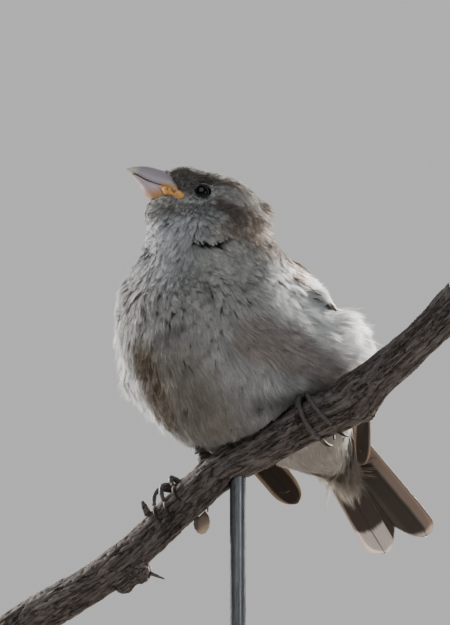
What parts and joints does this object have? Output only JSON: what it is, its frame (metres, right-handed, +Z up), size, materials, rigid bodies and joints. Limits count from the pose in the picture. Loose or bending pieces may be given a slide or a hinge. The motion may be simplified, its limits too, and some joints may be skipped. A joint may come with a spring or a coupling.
{
  "type": "house sparrow model",
  "caption": "Life-size still model of a fluffed young house sparrow on a cut branch, head turned and bill raised, on a plain rod and round base.",
  "frame": {"origin": "centre of the stand base's flat underside", "axes": "+Z up; the bird's breast faces -Y and turns towards -X, its bill points to -X, and the branch rises towards +X"},
  "size_m": [0.1256, 0.1131, 0.1609],
  "materials": {
    "plumage": "soft fluffed feathers",
    "wing_feather": "flight feathers, satin",
    "tail_feather": "tail feathers, satin",
    "bill_horn": "horn, slightly glossy",
    "gape_skin": "soft yellow skin",
    "eye": "wet gloss",
    "leg_scale": "fine scales",
    "claw_horn": "horn",
    "bark": "rough bark",
    "bud_scale": "dry papery scale",
    "stand_metal": "satin black",
    "stand_wood": "satin lacquer"
  },
  "bodies": {
    "root": {"head": "plumage", "neck": "plumage", "trunk": "plumage", "wing_left": "wing_feather", "wing_right": "wing_feather", "tail": "tail_feather", "bill_upper": "bill_horn", "bill_lower": "bill_horn", "gape_left": "gape_skin", "gape_right": "gape_skin", "eye_left": "eye", "eye_right": "eye", "leg_left": "leg_scale", "leg_right": "leg_scale", "claw_left_inner": "claw_horn", "claw_left_middle": "claw_horn", "claw_left_outer": "claw_horn", "claw_left_hind": "claw_horn", "claw_right_inner": "claw_horn", "claw_right_middle": "claw_horn", "claw_right_outer": "claw_horn", "claw_right_hind": "claw_horn", "perch": "bark", "bud_scale": "bud_scale", "stand_rod": "stand_metal", "stand_base": "stand_wood"}
  },
  "joints": []
}
